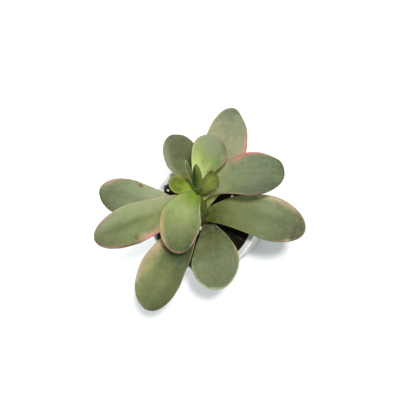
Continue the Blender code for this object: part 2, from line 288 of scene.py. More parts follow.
# Colours as they are seen in the light, 0 to 255: near the base, a third and two thirds of the way
# along, and near the tip. Left and right are how bright the two sides are next to the middle:
# painted light and shade for the way the light falls on each side. Rib is the strength of the dark
# streak along the middle, line the colour of the margin's rim.
Look = namedtuple("Look", "base low high tip left right rib line blushes marks")

BLACK = (0, 0, 0)
BLOOM = (190, 200, 172)
HAZE = (10, 10, 10)
PINK = (206, 152, 138)
ROSE = (204, 112, 116)
PEACH = (204, 180, 138)
TAN = (176, 160, 104)
CREAM = (200, 202, 160)
RUST = (120, 72, 46)
OLIVE = (84, 92, 40)
SCAR = (108, 84, 46)
GREEN = (72, 96, 56)

LOOKS = {
    "leaf_low_front": Look(
        # The dark base stop is partly painted shade from the leaf above.
        (73, 68, 29), (103, 110, 60), (128, 137, 100), (106, 110, 75), 0.99, 1.17, 0.1,
        (172, 172, 120),
        [
            Blush(-1, (224, 224, 170), 1.7, 0.64, 1.0, 0.95),
            Blush(1, (216, 216, 162), 1.3, 0.8, 1.0, 0.9),
            Blush(1, PEACH, 1.3, 0.5, 0.8, 0.8),
            Blush(-1, CREAM, 1.2, 0.5, 0.78, 0.45),
            Blush(0, (98, 122, 94), 3.4, 0.68, 1.0, 0.45),
        ],
        [
            Mark(0.81, -0.93, 1.2, 1.0, RUST, 0.9),
            Mark(0.84, 0.86, 3.4, 1.6, (84, 106, 70), 0.6),
            Mark(0.88, -0.72, 3.0, 2.2, (98, 120, 88), 0.5),
            Mark(0.59, 0.12, 0.7, 2.4, OLIVE, 0.5),
            Mark(0.52, -0.05, 0.5, 1.4, OLIVE, 0.35),
            Mark(0.70, -0.97, 1.6, 0.9, OLIVE, 0.6),
            Mark(0.76, 0.93, 1.2, 1.0, SCAR, 0.6),
        ],
    ),
    "leaf_low_back": Look(
        (132, 122, 23), (144, 138, 36), (87, 95, 57), (100, 103, 70), 1.50, 1.08, 0.15,
        (158, 156, 112),
        [
            Blush(1, (150, 154, 124), 4.8, 0.5, 0.94, 0.85),
            Blush(1, (188, 164, 138), 1.6, 0.88, 0.99, 0.75),
            Blush(1, TAN, 1.0, 0.5, 1.0, 0.6),
            Blush(-1, PEACH, 0.8, 0.8, 1.0, 0.5),
        ],
        [
            Mark(0.60, 0.1, 16.0, 7.0, (124, 136, 88), 0.4),
        ],
    ),
    "leaf_second_right": Look(
        # The dark base stop is partly painted shade from the leaf above.
        (93, 99, 31), (129, 136, 80), (125, 136, 92), (87, 88, 58), 1.11, 0.93, 0.3,
        (138, 132, 92),
        [
            Blush(1, (208, 190, 152), 4.2, 0.53, 0.86, 0.85),
            Blush(1, PINK, 1.2, 0.66, 0.98, 0.8),
            Blush(-1, PINK, 1.6, 0.82, 0.94, 0.7),
            Blush(-1, TAN, 0.8, 0.3, 0.8, 0.4),
            Blush(-1, RUST, 1.0, 0.93, 1.0, 0.7),
        ],
        [
            Mark(0.51, 0.84, 3.4, 2.4, (104, 124, 58), 0.85),
            Mark(0.66, 0.42, 16.0, 7.0, (170, 178, 142), 0.25),
            Mark(0.90, -0.86, 3.0, 2.4, (196, 176, 136), 0.6),
            # Painted shade near the base, under the leaf above.
            Mark(0.13, 0.25, 5.0, 3.4, (78, 88, 34), 0.75),
            Mark(0.985, 0.5, 2.4, 2.6, (84, 86, 52), 0.6),
        ],
    ),
    "leaf_second_left": Look(
        (148, 155, 115), (163, 167, 128), (134, 145, 106), (101, 110, 72), 0.79, 1.16, 0.4,
        (156, 152, 106),
        [
            Blush(-1, (214, 168, 156), 4.4, 0.86, 0.97, 0.95),
            Blush(-1, PINK, 1.2, 0.8, 1.0, 0.8),
            Blush(-1, TAN, 0.9, 0.4, 0.86, 0.65),
            Blush(1, OLIVE, 1.4, 0.7, 1.0, 0.4),
        ],
        [
            Mark(0.63, -0.84, 3.4, 2.4, (118, 96, 48), 0.9),
            Mark(0.68, -0.95, 3.0, 1.2, (126, 100, 54), 0.7),
            Mark(0.96, 0.75, 5.0, 3.0, (96, 108, 68), 0.4),
        ],
    ),
    "leaf_third_back": Look(
        (148, 154, 70), (199, 207, 129), (163, 162, 123), (111, 121, 91), 1.18, 1.03, 0.2,
        (158, 146, 112),
        [
            Blush(-1, (206, 168, 144), 4.6, 0.42, 0.66, 0.45),
            Blush(-1, PINK, 2.4, 0.5, 0.78, 0.8),
            Blush(-1, ROSE, 0.9, 0.5, 0.88, 0.85),
            Blush(1, PINK, 1.4, 0.74, 1.0, 0.75),
            Blush(-1, (84, 100, 72), 1.8, 0.88, 0.96, 0.85),
            Blush(-1, (110, 122, 92), 0.8, 0.95, 1.0, 0.5),
        ],
        [
            Mark(0.86, 0.1, 3.0, 9.0, (156, 166, 138), 0.3),
            Mark(0.72, -0.2, 9.0, 3.0, (166, 168, 132), 0.35),
        ],
    ),
    "leaf_third_front": Look(
        # The dark base and low stops are partly painted shadow of leaf_fifth_front above.
        (66, 77, 36), (76, 89, 44), (129, 137, 86), (105, 114, 65), 0.68, 1.38, 0.1,
        (150, 142, 96),
        [
            Blush(-1, (200, 182, 130), 8.5, 0.3, 0.7, 0.85),
            Blush(-1, (220, 184, 164), 3.6, 0.4, 0.82, 0.9),
            Blush(-1, CREAM, 1.0, 0.6, 0.95, 0.5),
            Blush(1, PINK, 0.9, 0.82, 0.98, 0.6),
        ],
        [
            Mark(0.82, 0.85, 8.0, 3.4, (92, 102, 58), 0.5),
            # These two dark marks are painted shadow of leaf_fifth_front, which hangs above.
            Mark(0.40, 0.1, 13.0, 17.0, (58, 72, 36), 0.6),
            Mark(0.37, -0.4, 9.0, 9.0, (72, 84, 46), 0.6),
        ],
    ),
    "leaf_fourth_right": Look(
        (243, 243, 143), (159, 173, 110), (122, 133, 99), (91, 103, 67), 0.96, 0.68, 0.2,
        (134, 110, 78),
        [
            Blush(1, (196, 170, 136), 6.5, 0.38, 0.6, 0.5),
            Blush(1, (206, 140, 130), 4.4, 0.48, 0.6, 0.7),
            Blush(1, ROSE, 2.0, 0.5, 0.74, 0.95),
            Blush(1, PINK, 1.1, 0.66, 0.84, 0.75),
            Blush(1, GREEN, 1.8, 0.84, 1.0, 0.55),
            # Painted shade along the right margin near the base.
            Blush(-1, (66, 74, 28), 1.0, 0.06, 0.26, 0.85),
            Blush(-1, (190, 150, 124), 1.1, 0.34, 0.6, 0.8),
            Blush(-1, RUST, 0.7, 0.56, 0.95, 0.6),
        ],
        [
            Mark(0.64, -0.8, 7.0, 3.0, (104, 104, 74), 0.6),
            Mark(0.33, -0.5, 12.0, 8.0, (170, 176, 128), 0.45),
            # Painted shade at the base, next to the stem.
            Mark(0.12, -0.4, 7.0, 6.0, (86, 94, 46), 0.7),
            Mark(0.46, 0.1, 9.0, 7.0, (148, 160, 124), 0.35),
            Mark(0.97, -0.2, 3.0, 9.0, (104, 120, 88), 0.4),
        ],
    ),
    "leaf_fourth_left": Look(
        (138, 142, 89), (136, 140, 84), (122, 136, 82), (116, 116, 85), 0.90, 1.26, 0.75,
        (158, 132, 100),
        [
            Blush(1, (208, 156, 138), 4.0, 0.34, 0.62, 0.95),
            Blush(1, ROSE, 1.1, 0.36, 0.64, 0.5),
            Blush(1, (168, 142, 110), 2.8, 0.66, 0.96, 0.5),
            Blush(1, (186, 120, 108), 1.3, 0.6, 1.0, 0.9),
            Blush(1, (84, 52, 32), 1.7, 0.58, 0.78, 1.0),
            # A wide pale band over the right half: painted light on the side that faces the light.
            Blush(-1, (158, 166, 132), 10.0, 0.2, 0.9, 0.6),
            Blush(-1, (188, 168, 132), 1.1, 0.2, 0.8, 0.8),
            Blush(-1, PINK, 1.6, 0.74, 1.0, 0.85),
        ],
        [
            Mark(0.61, 0.7, 3.4, 3.0, (116, 92, 56), 0.85),
            Mark(0.56, 0.72, 6.0, 4.0, (166, 156, 120), 0.5),
        ],
    ),
    "leaf_fifth_back": Look(
        (215, 237, 124), (222, 235, 146), (145, 164, 88), (124, 128, 98), 1.18, 0.65, 0.15,
        (140, 112, 76),
        [
            Blush(-1, (196, 158, 128), 2.0, 0.62, 0.86, 0.75),
            Blush(-1, (96, 52, 32), 1.2, 0.2, 0.84, 0.95),
            Blush(-1, (172, 132, 110), 0.8, 0.84, 1.0, 0.7),
            # Painted highlight along the thick left margin near the base.
            Blush(1, (214, 216, 164), 1.2, 0.1, 0.75, 0.7),
            Blush(1, PINK, 1.0, 0.72, 1.0, 0.6),
        ],
        [
            Mark(0.84, -0.3, 15.0, 13.0, (108, 122, 90), 0.35),
            Mark(0.90, 0.25, 15.0, 17.0, (136, 146, 112), 0.6),
            Mark(0.78, -0.72, 4.0, 2.0, (160, 150, 112), 0.5),
            Mark(0.3, 0.1, 7.0, 7.0, (188, 204, 112), 0.5),
        ],
    ),
    "leaf_fifth_front": Look(
        (121, 140, 35), (153, 167, 101), (130, 139, 87), (88, 100, 57), 0.73, 0.90, 0.15,
        (150, 132, 88),
        [
            Blush(-1, (178, 196, 108), 4.4, 0.16, 0.44, 0.35),
            Blush(-1, (92, 96, 36), 0.9, 0.04, 0.44, 0.9),
            Blush(-1, (200, 172, 118), 3.4, 0.46, 0.82, 0.95),
            Blush(-1, (204, 158, 138), 1.8, 0.68, 1.0, 0.85),
            Blush(1, (198, 150, 134), 1.4, 0.55, 1.0, 0.85),
            Blush(1, (206, 212, 140), 0.7, 0.1, 0.5, 0.6),
            Blush(1, (104, 128, 70), 3.6, 0.3, 0.62, 0.4),
        ],
        [
            Mark(0.14, 0.05, 10.0, 8.0, (118, 146, 36), 0.6),
            Mark(0.92, 0.0, 4.0, 8.0, (98, 108, 72), 0.5),
            Mark(0.56, 0.1, 9.0, 3.0, (134, 134, 88), 0.4),
            Mark(0.66, -0.35, 8.0, 2.4, (128, 130, 84), 0.35),
            Mark(0.50, 0.62, 6.0, 2.4, (116, 138, 72), 0.45),
        ],
    ),
    "young_leaf_left": Look(
        (116, 138, 40), (172, 190, 76), (119, 138, 29), (112, 112, 40), 0.96, 0.71, 0.2,
        (170, 160, 84),
        [
            Blush(0, (160, 162, 72), 1.5, 0.3, 1.0, 0.6),
            Blush(-1, (120, 96, 44), 0.7, 0.3, 0.9, 0.6),
        ],
        [
            # Painted shadow between this leaf and tip_leaf_left.
            Mark(0.55, -0.82, 2.6, 1.4, (60, 58, 18), 0.85),
            Mark(0.64, -0.98, 4.0, 1.0, (104, 78, 36), 0.8),
            # These three darker green marks are painted shade inside the cupped blade.
            Mark(0.66, 0.5, 6.0, 2.4, (88, 108, 26), 0.6),
            Mark(0.88, -0.1, 3.0, 4.4, (96, 116, 32), 0.5),
            Mark(0.72, -0.3, 5.0, 1.8, (92, 116, 28), 0.5),
            Mark(0.45, 0.6, 4.0, 1.6, (170, 178, 84), 0.6),
        ],
    ),
    "young_leaf_right": Look(
        (102, 115, 36), (138, 150, 64), (137, 149, 59), (98, 106, 42), 0.70, 0.91, 0.1,
        (84, 92, 36),
        [
            # Painted shade along the thick left margin, under leaf_fifth_back.
            Blush(1, (66, 74, 26), 0.8, 0.2, 0.95, 0.9),
            Blush(-1, (96, 106, 44), 0.8, 0.3, 1.0, 0.6),
        ],
        [
            Mark(0.86, 0.85, 1.4, 1.0, (72, 52, 24), 0.9),
            Mark(0.9, -0.85, 1.6, 1.2, (76, 58, 28), 0.8),
            Mark(0.62, 0.1, 5.0, 0.8, (156, 164, 84), 0.6),
            Mark(0.55, -0.45, 5.0, 0.7, (150, 158, 80), 0.45),
        ],
    ),
    "tip_leaf_left": Look(
        (72, 89, 26), (89, 102, 42), (94, 105, 42), (100, 111, 54), 1.15, 0.95, 0.1,
        (150, 160, 108),
        [
            Blush(1, (158, 168, 116), 0.7, 0.3, 1.0, 0.85),
            Blush(-1, (66, 76, 34), 0.6, 0.2, 0.9, 0.5),
        ],
        [],
    ),
    "tip_leaf_right": Look(
        # The low left gain is painted shade on the folded leaf's left half.
        (76, 94, 7), (88, 106, 26), (81, 100, 23), (121, 125, 57), 0.49, 1.42, 0.0,
        (104, 100, 50),
        [
            Blush(-1, (112, 106, 52), 0.7, 0.2, 1.0, 0.85),
            Blush(1, (128, 140, 84), 0.4, 0.4, 1.0, 0.6),
        ],
        # This dark mark is painted shade on the folded leaf's left half.
        [Mark(0.45, 0.6, 22.0, 2.6, (26, 60, 0), 0.85)],
    ),
}

# Perlite and gravel on the soil: name, x, y, length and width in mm, heading in degrees
Grain = namedtuple("Grain", "name x y length width heading")

GRAINS = [
    Grain("perlite_front_left", -2.4, -7.3, 3.0, 2.4, -40),
    Grain("perlite_front_right", 6.2, -8.4, 3.6, 2.0, 15),
    Grain("gravel_back_left", -24.2, 10.2, 2.8, 2.2, 60),
    Grain("gravel_left", -22.9, 16.0, 1.8, 1.5, -30),
    Grain("gravel_right", 17.0, 11.4, 1.8, 1.5, 40),
]
GRAIN_SINK = 0.35
GRAIN_BUMP = 0.3
GRAIN_GRIT = 0.1
PIT_DEPTH = 0.09
PIT_REACH = 0.35


# Materials


def surface(colour):
    """The linear surface colour of something seen as this 0 to 255 colour in the light."""
    linear = []
    for value in colour:
        value /= 255
        value = value / 12.92 if value <= 0.04045 else ((value + 0.055) / 1.055) ** 2.4
        linear.append(value * SEEN_TO_SURFACE)
    return (*linear, 1)


def blend(colour, gain, other=BLACK, share=0.0):
    """The surface colour of a 0 to 255 colour times a gain, with a share of another one added."""
    return surface([round(gain * first + share * second) for first, second in zip(colour, other)])


class Signal:
    """A socket of a material. Arithmetic with it adds Math nodes."""

    def __init__(self, finish, socket):
        self.finish = finish
        self.socket = socket

    def maths(self, operation, *values):
        return self.finish.node("ShaderNodeMath", {"operation": operation}, dict(enumerate(values)))

    def __add__(self, other):
        return self.maths("ADD", self, other)

    __radd__ = __add__

    def __sub__(self, other):
        return self.maths("SUBTRACT", self, other)

    def __rsub__(self, other):
        return self.maths("SUBTRACT", other, self)

    def __mul__(self, other):
        return self.maths("MULTIPLY", self, other)

    __rmul__ = __mul__

    def __truediv__(self, other):
        return self.maths("DIVIDE", self, other)

    def __pow__(self, other):
        return self.maths("POWER", self, other)

    def __abs__(self):
        return self.maths("ABSOLUTE", self)


class Finish:
    """A material and the nodes that make it."""

    def __init__(self, name):
        self.material = bpy.data.materials.new(name)
        self.material.use_nodes = True
        self.tree = self.material.node_tree
        self.shader = self.tree.nodes["Principled BSDF"]
        self.place = self.node("ShaderNodeTexCoord", output="Object")

    def feed(self, socket, value):
        if isinstance(value, Signal):
            self.tree.links.new(value.socket, socket)
        else:
            socket.default_value = value

    def node(self, kind, settings=None, values=None, output=0):
        made = self.tree.nodes.new(kind)
        for name, setting in (settings or {}).items():
            if name == "stops":
                ramp = made.color_ramp
                while len(ramp.elements) < len(setting):
                    ramp.elements.new(1)
                for element, (position, colour) in zip(ramp.elements, setting):
                    element.position = position
                    element.color = colour
            else:
                setattr(made, name, setting)
        for name, value in (values or {}).items():
            self.feed(made.inputs[name], value)
        return Signal(self, made.outputs[output])

    def attribute(self, name):
        return self.node("ShaderNodeAttribute", {"attribute_name": name}, output="Fac")

    def noise(self, scale, detail, roughness=0.55, place=None):
        values = {"Scale": scale, "Detail": detail, "Roughness": roughness}
        values["Vector"] = place or self.place
        return self.node("ShaderNodeTexNoise", None, values)

    def cells(self, scale):
        values = {"Vector": self.place, "Scale": scale}
        return self.node("ShaderNodeTexVoronoi", None, values, "Distance")

    def split(self, axis):
        """Where a point lies along X, Y or Z."""
        return self.node("ShaderNodeSeparateXYZ", None, {"Vector": self.place}, axis)

    def stretched(self, *scale):
        """Coordinates that draw a pattern out along the axes with a small scale."""
        return self.node("ShaderNodeMapping", None, {"Vector": self.place, "Scale": scale})

    def step(self, value, low, high):
        """0 below low, 1 above high, and a smooth rise between them."""
        values = {"Value": value, "From Min": low, "From Max": high}
        return self.node("ShaderNodeMapRange", {"interpolation_type": "SMOOTHSTEP"}, values)

    def gain(self, colour, factor):
        values = {0: colour, "Scale": factor}
        return self.node("ShaderNodeVectorMath", {"operation": "SCALE"}, values)

    def mix(self, share, first, second):
        """The first colour with a share of the second. 6, 7 and 2 are the node's colour sockets."""
        values = {"Factor": share, 6: first, 7: second}
        return self.node("ShaderNodeMix", {"data_type": "RGBA"}, values, 2)

    def ramp(self, value, stops):
        return self.node("ShaderNodeValToRGB", {"stops": stops}, {"Fac": value})

    def bump(self, height, distance, strength):
        values = {"Height": height, "Distance": distance, "Strength": strength}
        return self.node("ShaderNodeBump", None, values)

    def shade(self, **values):
        """Sets the shader's own sockets, with _ for a space in a socket's name."""
        for name, value in values.items():
            self.feed(self.shader.inputs[name.replace("_", " ")], value)
        return self.material


def leaf_skin(leaf, look):
    """Fleshy skin with a thin bloom: green from base to tip, blushed margins, scars, paler below."""
    skin = Finish("skin_" + leaf.name)
    along, side, upper, rim = (skin.attribute(name) for name in LEAF_PLACES)

    cloud = skin.noise(105, 2.5)
    mottle = skin.noise(430, 4)
    grain = skin.noise(2100, 3)
    across = side * (leaf.width / 2)
    down = along * leaf.length
    fibres = skin.node("ShaderNodeCombineXYZ", None, {"X": across * 0.8, "Y": down * 0.1})
    streak = skin.noise(1.0, 3, place=fibres)

    stops = [
        (0.1, surface(look.base)),
        (0.34, surface(look.low)),
        (0.64, surface(look.high)),
        (0.94, surface(look.tip)),
    ]
    colour = skin.ramp(along + (cloud - 0.5) * 0.16, stops)

    # Bloom and deeper green in patches: the pattern, where it starts and is full, its strength
    bloom = blend(look.high, 0.66, BLOOM, 0.34)
    deep = blend(look.high, 0.86)
    for pattern, low, high, strength, shade in (
        (mottle, 0.42, 0.75, 0.32, bloom),
        (skin.noise(190, 4, 0.7), 0.48, 0.7, 0.26, bloom),
        (cloud, 0.5, 0.72, 0.5, deep),
        (skin.noise(280, 3, 0.6), 0.52, 0.72, 0.4, deep),
    ):
        colour = skin.mix(skin.step(pattern, low, high) * strength, colour, shade)

    # A dark streak along the middle, and brighter or darker halves
    rib = (1 - skin.step(abs(side + 0.24 * (cloud - 0.3)), 0.0, 0.34)) * skin.step(along, 0.3, 0.58)
    rib = rib * (1 - skin.step(along, 0.76, 0.96)) * skin.step(streak, 0.25, 0.6)
    colour = skin.mix(rib * look.rib, colour, blend(look.high, 0.74))
    tone = 1 + skin.step(side, 0.05, 0.8) * (look.left - 1)
    tone = tone + skin.step(0 - side, 0.05, 0.8) * (look.right - 1)
    tone = tone + (streak - 0.5) * 0.32 + (cloud - 0.5) * 0.3 + (grain - 0.5) * 0.4
    colour = skin.gain(colour, tone)

    # The rim's line and the blushes, with a broken, wavering edge
    wobble = skin.noise(300, 3)
    patch = skin.step(skin.noise(160, 2), 0.36, 0.62)
    uneven = rim * (0.5 + wobble)
    line = (1 - skin.step(uneven, 0.15, 0.65)) * skin.step(along, 0.04, 0.2)
    colour = skin.mix(line * (0.35 + 0.5 * patch), colour, surface(look.line))
    for blush in look.blushes:
        reach = 1 - skin.step(uneven, 0.2 * blush.width, 1.15 * blush.width)
        reach = reach * skin.step(along, blush.start - 0.06, blush.start + 0.08)
        if blush.end < 1:
            reach = reach * (1 - skin.step(along, blush.end - 0.08, blush.end + 0.06))
        if blush.margin:
            reach = reach * skin.step(side * blush.margin, -0.1, 0.25)
        reach = reach * (0.55 + 0.45 * patch)
        colour = skin.mix(reach * blush.strength, colour, surface(blush.colour))

    # Marks on the upper side, and brown specks all over
    for mark in look.marks:
        off_along = (along - mark.along) * (leaf.length * 2 / mark.long)
        off_side = (side - mark.side) * (leaf.width / mark.wide)
        far = (off_along * off_along + off_side * off_side) * (0.4 + 1.2 * wobble)
        spot = (1 - skin.step(far, 0.0, 1.6)) * skin.step(upper, -0.2, 0.1)
        colour = skin.mix(spot * mark.strength, colour, surface(mark.colour))
    specks = skin.step(skin.noise(650, 2), 0.62, 0.7) * (1 - skin.step(rim, 0.3, 1.0))
    colour = skin.mix(specks * 0.6, colour, surface(SCAR))

    under = (1 - skin.step(upper, -0.45, 0.0)) * skin.step(rim, 0.4, 1.6)
    colour = skin.mix(under * 0.8, colour, blend(look.high, 0.92, HAZE, 1.0))

    pores = skin.step(skin.cells(620), 0.0, 0.35)
    height = cloud * 1.4 + mottle * 0.6 + grain * 0.14 + pores * 0.1 + streak * 0.5
    return skin.shade(
        Base_Color=colour,
        Roughness=0.54 + 0.25 * mottle,
        Normal=skin.bump(height, 0.4 * MM, 0.7),
        Subsurface_Weight=0.1,
        Subsurface_Scale=0.002,
        Specular_IOR_Level=0.17,
    )


def stem_bark():
    """Olive skin, browner towards the soil, with dark fibres and pale flecks."""
    bark = Finish("stem_bark")
    height = bark.split("Z")
    mottle = bark.noise(420, 4)
    cloud = bark.noise(140, 2)
    fibre = bark.noise(1300, 3, place=bark.stretched(1.0, 1.0, 0.14))
    share = (height - SOIL_LEVEL) / (STEM_TIP - SOIL_LEVEL) + (cloud - 0.5) * 0.35
    stops = [
        (0.0, surface((84, 68, 42))),
        (0.22, surface((92, 92, 46))),
        (0.5, surface((106, 118, 48))),
        (0.86, surface((110, 126, 44))),
        (0.94, surface((72, 90, 34))),
    ]
    colour = bark.ramp(share, stops)
    colour = bark.mix(bark.step(fibre, 0.5, 0.75) * 0.5, colour, surface((66, 60, 34)))
    colour = bark.mix(bark.step(mottle, 0.55, 0.8) * 0.35, colour, surface((150, 146, 104)))
    return bark.shade(
        Base_Color=colour,
        Roughness=0.55 + 0.2 * mottle,
        Normal=bark.bump(fibre * 0.7 + mottle * 0.6, 0.4 * MM, 0.7),
        Subsurface_Weight=0.05,
        Subsurface_Scale=0.001,
        Specular_IOR_Level=0.15,
    )


def white_plastic():
    """Thin moulded plastic, faintly cloudy, with soil smeared inside the lip, painted shade in rings
    for faint grooves on the lip, fine scratches round the pot, painted shade below the rim's top and
    more below the lip, and dust at its foot."""
    plastic = Finish("white_plastic")
    x, y, height = (plastic.split(axis) for axis in "XYZ")
    radius = (x * x + y * y) ** 0.5
    cloud = plastic.noise(60, 3)
    dust = plastic.noise(900, 4)
    lumps = plastic.noise(260, 2)
    scratch = plastic.noise(1500, 2, place=plastic.stretched(0.08, 0.08, 1.0))
    on_lip = plastic.step(height, *LIP_FADE)
    colour = plastic.mix(cloud, CLOUDY_WHITE, CLEAN_WHITE)

    left = 1 - plastic.step(x, *LEFT_FADE)
    front = 1 - plastic.step(y, *FRONT_FADE)
    width = SMEAR_WIDTH * (0.8 + 0.7 * front) + (dust + lumps - 1) * SMEAR_UNEVEN
    wall_radius = inner_radius(SOIL_LEVEL)
    off_wall = plastic.step(radius - left * width, wall_radius - SMEAR_EDGE, wall_radius + SMEAR_EDGE)
    dirt = (1 - off_wall) * on_lip
    colour = plastic.mix(dirt * 0.97, colour, SMEAR_COLOUR)

    # Darker rings on the lip: painted shade standing for faint grooves
    phase = radius * (math.tau / RING_PITCH)
    wave = phase.maths("SINE", phase)
    groove = plastic.step(wave, 0.1, 0.9) * on_lip
    colour = plastic.gain(colour, 1 - RING_PAINTED_SHADE * groove * (0.4 + 1.2 * lumps))
    # Darker below the rim's top and more below the lip: painted shade
    for fade, painted_shade in ((WALL_FADE, WALL_PAINTED_SHADE), (BODY_FADE, BODY_PAINTED_SHADE)):
        colour = plastic.gain(colour, 1 - painted_shade * (1 - plastic.step(height, *fade)))
    foot = (1 - plastic.step(height, *FOOT_FADE)) * plastic.step(dust, 0.5, 0.8)
    colour = plastic.mix(foot * 0.3, colour, DUST_COLOUR)
    return plastic.shade(
        Base_Color=colour,
        Roughness=0.34 + 0.14 * scratch + 0.5 * dirt,
        Normal=plastic.bump(scratch * 0.3 + cloud * 1.5, 0.08 * MM, 0.4),
        Subsurface_Weight=0.1,
        Subsurface_Scale=0.001,
    )


def dark_soil(name):
    """Dark peat: near black in the hollows, brown on the crumbs."""
    low, high, rough = SOIL_LOOKS[name]
    soil = Finish(name)
    patch = soil.noise(230, 3)
    crumb = soil.noise(1300, 5, 0.65)
    fine = soil.noise(4200, 3)
    colour = soil.mix(soil.step(crumb, 0.35, 0.7), low, high)
    colour = soil.mix(soil.step(patch, 0.4, 0.7) * 0.5, colour, low)
    return soil.shade(
        Base_Color=colour,
        Roughness=rough + 0.12 * crumb,
        Normal=soil.bump(crumb + fine * 0.4, 0.5 * MM, 0.9),
        Specular_IOR_Level=0.12,
    )


def cream_grain():
    """Rough cream mineral with dull brown hollows and dust."""
    grain = Finish("cream_grain")
    patch = grain.noise(700, 3)
    pits = grain.noise(2600, 4)
    colour = grain.mix(patch, (0.62, 0.55, 0.38, 1), (0.80, 0.76, 0.62, 1))
    colour = grain.mix(grain.step(pits, 0.5, 0.7) * 0.6, colour, (0.26, 0.19, 0.10, 1))
    return grain.shade(
        Base_Color=colour,
        Roughness=0.75 + 0.15 * patch,
        Normal=grain.bump(pits, 0.25 * MM, 0.9),
    )


def pale_floor():
    floor = Finish("pale_floor")
    cloud = floor.noise(3, 2)
    colour = floor.mix(cloud, (0.87, 0.87, 0.865, 1), (0.90, 0.90, 0.895, 1))
    return floor.shade(Base_Color=colour, Roughness=0.7, Specular_IOR_Level=0.2)


# Modelling


def added(name):
    """The primitive that was just added, with its name."""
    piece = bpy.context.object
    piece.name = name
    piece.data.name = name
    return piece


def place_piece(piece, material, slot, *nodes):
    """Gives a finished piece its material and body, and hides the nodes that it stands for. The slot
    is not used.
    """
    piece.data.materials.clear()
    piece.data.materials.append(material)
    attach(piece, "root")
    if nodes:
        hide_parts(*nodes)


def deselect_all():
    bpy.ops.object.select_all(action="DESELECT")


def face_outwards():
    """Turns the faces of the piece in hand outwards and shades them smooth."""
    bpy.ops.object.mode_set(mode="EDIT")
    bpy.ops.mesh.select_all(action="SELECT")
    bpy.ops.mesh.normals_make_consistent(inside=False)
    bpy.ops.object.mode_set(mode="OBJECT")
    bpy.ops.object.shade_smooth()


def turned(name, profile, steps):
    """A piece spun about the upright axis from (radius, height) points, starting at the axis."""
    deselect_all()
    bpy.ops.mesh.primitive_plane_add(size=MM, location=(0, 0, 0))
    piece = added(name)
    bpy.ops.object.mode_set(mode="EDIT")
    bpy.ops.mesh.merge(type="CENTER")
    here = Vector((profile[0][0], 0, profile[0][1]))
    bpy.ops.transform.translate(value=here)
    for radius, height in profile[1:]:
        there = Vector((radius, 0, height))
        bpy.ops.mesh.extrude_vertices_move(TRANSFORM_OT_translate={"value": there - here})
        here = there
    bpy.ops.mesh.select_all(action="SELECT")
    bpy.ops.mesh.spin(steps=steps, angle=math.tau, center=(0, 0, 0), axis=(0, 0, 1))
    bpy.ops.mesh.select_all(action="SELECT")
    bpy.ops.mesh.remove_doubles(threshold=MERGE_BELOW)
    bpy.ops.mesh.normals_make_consistent(inside=False)
    bpy.ops.object.mode_set(mode="OBJECT")
    return piece


def smooth_line(points, height):
    """The point at the given height on a Catmull-Rom curve through points listed upwards."""
    last = len(points) - 3
    index = 1
    while index < last and points[index + 1][2] < height:
        index += 1
    before, start, end, after = (Vector(p) for p in points[index - 1:index + 3])
    share = (height - start.z) / (end.z - start.z)
    slope_in = (end - before) / (end.z - before.z) * (end.z - start.z)
    slope_out = (after - start) / (after.z - start.z) * (end.z - start.z)
    square = share * share
    cube = square * share
    point = start * (2 * cube - 3 * square + 1) + slope_in * (cube - 2 * square + share)
    point += end * (3 * square - 2 * cube) + slope_out * (cube - square)
    point.z = height
    return point


def stem_centre(height):
    return smooth_line(STEM_LINE, height)


def stem_radius(height):
    """Thick at the foot, slimmer upwards, swollen at each pair of leaves, rounded off at the tip."""
    share = max(0.0, (height - SOIL_LEVEL) / (STEM_TIP - SOIL_LEVEL))
    radius = STEM_RADIUS + (STEM_TOP_RADIUS - STEM_RADIUS) * share
    for node in sorted({leaf.height for leaf in LEAVES}):
        distance = (height - node * MM) / NODE_REACH
        radius *= 1 + NODE_SWELL * math.exp(-distance * distance)
    to_tip = (STEM_TIP - height) / (2 * STEM_TOP_RADIUS)
    if to_tip < 1:
        dome = math.sqrt(max(0.0, 1 - (1 - to_tip) ** 2))
        radius *= TIP_BLUNTNESS + (1 - TIP_BLUNTNESS) * dome
    return radius


def blade_share(leaf, along):
    """Half width of a leaf as a share of its largest, from the base at 0 to the tip at 1."""
    if along < leaf.belly:
        widening = 1 - (1 - along / leaf.belly) ** TAPER_POWER
        return leaf.neck + (1 - leaf.neck) * widening ** leaf.late
    return math.sqrt(max(0.0, 1 - ((along - leaf.belly) / (1 - leaf.belly)) ** 2))


def blade_half_thickness(leaf, along):
    size = min(1.0, leaf.length * MM / FULL_LENGTH)
    thick = BLADE_THICKNESS
    thick += (BASE_THICKNESS - BLADE_THICKNESS) * max(0.0, 1 - along / CHANNEL_END) ** 2
    thick += (TIP_THICKNESS - BLADE_THICKNESS) * max(0.0, 2 * along - 1) ** 2
    return thick / 2 * (THIN_SMALL_LEAF + (1 - THIN_SMALL_LEAF) * size)


def midrib_direction(leaf, along):
    """Where the leaf's middle line points at a share of its length, and what lies across it."""
    rise = math.radians(leaf.rise - leaf.droop * along)
    heading = math.radians(leaf.heading + leaf.turn * (along - 0.5))
    level = Vector((math.cos(heading), math.sin(heading), 0))
    across = Vector((-math.sin(heading), math.cos(heading), 0))
    return level * math.cos(rise) + Vector((0, 0, math.sin(rise))), across


def midrib_frames(leaf):
    """Point, across and upward directions along the leaf's middle line, in even steps."""
    point = stem_centre(leaf.height * MM)
    frames = []
    for index in range(MIDRIB_STEPS + 1):
        forward, across = midrib_direction(leaf, index / MIDRIB_STEPS)
        frames.append((point.copy(), across, forward.cross(across)))
        middle = midrib_direction(leaf, (index + 0.5) / MIDRIB_STEPS)[0]
        point = point + leaf.length * MM / MIDRIB_STEPS * middle
    return frames


def leaf_start(leaf):
    """Share of the length where the skin begins, inside the stem."""
    inside_stem = CLASP * stem_radius(leaf.height * MM)
    leaning_back = blade_half_thickness(leaf, 0) * math.sin(math.radians(leaf.rise))
    return (inside_stem + leaning_back) / (leaf.length * MM)


